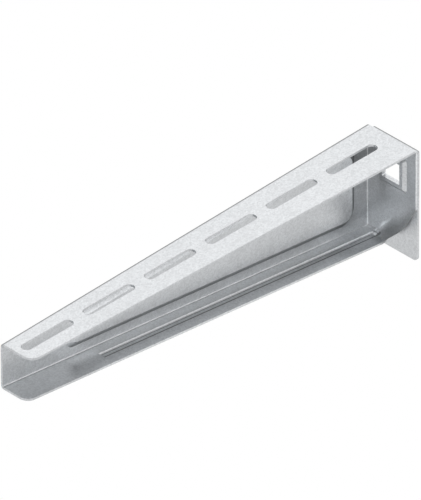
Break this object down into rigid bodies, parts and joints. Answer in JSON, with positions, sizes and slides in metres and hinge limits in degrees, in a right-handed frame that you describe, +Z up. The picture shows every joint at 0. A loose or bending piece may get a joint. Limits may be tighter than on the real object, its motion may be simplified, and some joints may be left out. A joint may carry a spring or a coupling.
{
  "type": "cantilever strut arm",
  "caption": "Folded galvanised sheet-steel arm that stands out from a wall or strut and carries a cable tray bolted to its slotted top flange.",
  "frame": {"origin": "centre of the square fixing hole, in the face that lies on the wall", "axes": "+X out along the arm to its free tip, +Y from the web to the open side, +Z up through the top flange"},
  "size_m": [0.31, 0.041, 0.08],
  "materials": {
    "galvanised_sheet": "hot-dip galvanised sheet, satin, with a faint mottle"
  },
  "bodies": {
    "root": {"strut_arm": "galvanised_sheet"}
  },
  "joints": []
}
